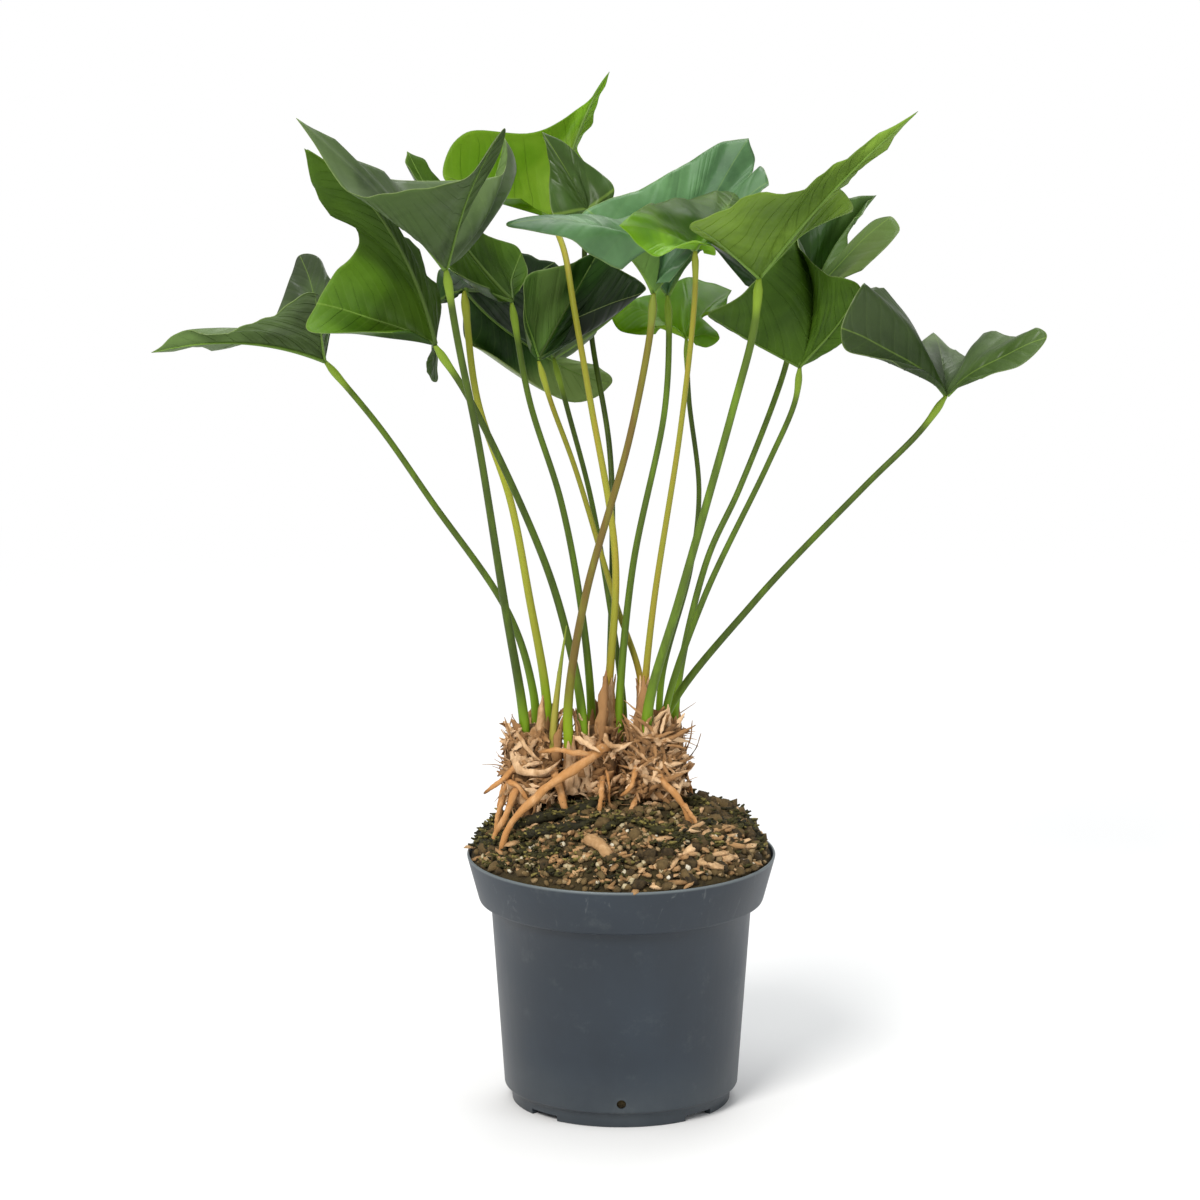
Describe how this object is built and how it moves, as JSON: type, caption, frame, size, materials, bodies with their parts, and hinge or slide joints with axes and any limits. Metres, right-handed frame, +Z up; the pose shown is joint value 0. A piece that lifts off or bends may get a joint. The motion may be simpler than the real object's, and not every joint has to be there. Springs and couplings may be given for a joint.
{
  "type": "potted arrow anthurium",
  "caption": "Potted aroid house plant: arrow-shaped, three-lobed green leaves on long slim stalks rise from root-clad crowns in a soil-filled, tapered nursery pot.",
  "frame": {"origin": "on the pot's axis, where the flat disc in the middle of its base meets the floor", "axes": "+Z up along the pot's axis and the plant's height, -Y towards the viewer of the picture, +X to their right"},
  "size_m": [0.595, 0.4103, 0.7113],
  "materials": {
    "pot": "matte slate-grey injection-moulded polypropylene",
    "soil": "damp bark and peat mix with moss and pale chips",
    "crown": "dry fibrous sheaths and tan aerial roots",
    "shoot": "smooth waxy pale green",
    "stalk_green": "smooth waxy green, lighter at the foot and the joint",
    "stalk_yellow": "smooth waxy yellow-green",
    "stalk_brown": "smooth waxy brown-green",
    "leaf_deep": "satin dark green above, paler below",
    "leaf_mid": "satin mid green, matt below",
    "leaf_bright": "translucent yellow-green with light coming through",
    "leaf_grey": "satin grey-green",
    "leaf_blue": "satin blue-green with sky reflections"
  },
  "bodies": {
    "root": {"pot": "pot", "soil": "soil", "crown_left": "crown", "crown_middle": "crown", "crown_right": "crown", "young_shoot": "shoot", "stalk_01": "stalk_green", "blade_01": "leaf_grey", "stalk_02": "stalk_green", "blade_02": "leaf_mid", "stalk_03": "stalk_green", "blade_03": "leaf_grey", "stalk_04": "stalk_yellow", "blade_04": "leaf_deep", "stalk_05": "stalk_green", "blade_05": "leaf_mid", "stalk_06": "stalk_yellow", "blade_06": "leaf_bright", "stalk_07": "stalk_green", "blade_07": "leaf_deep", "stalk_08": "stalk_green", "blade_08": "leaf_deep", "stalk_09": "stalk_green", "blade_09": "leaf_grey", "stalk_10": "stalk_brown", "blade_10": "leaf_blue", "stalk_11": "stalk_yellow", "blade_11": "leaf_bright", "stalk_12": "stalk_green", "blade_12": "leaf_bright", "stalk_13": "stalk_green", "blade_13": "leaf_blue", "stalk_14": "stalk_green", "blade_14": "leaf_mid", "stalk_15": "stalk_green", "blade_15": "leaf_deep", "stalk_16": "stalk_green", "blade_16": "leaf_mid", "stalk_17": "stalk_green", "blade_17": "leaf_grey"}
  },
  "joints": []
}
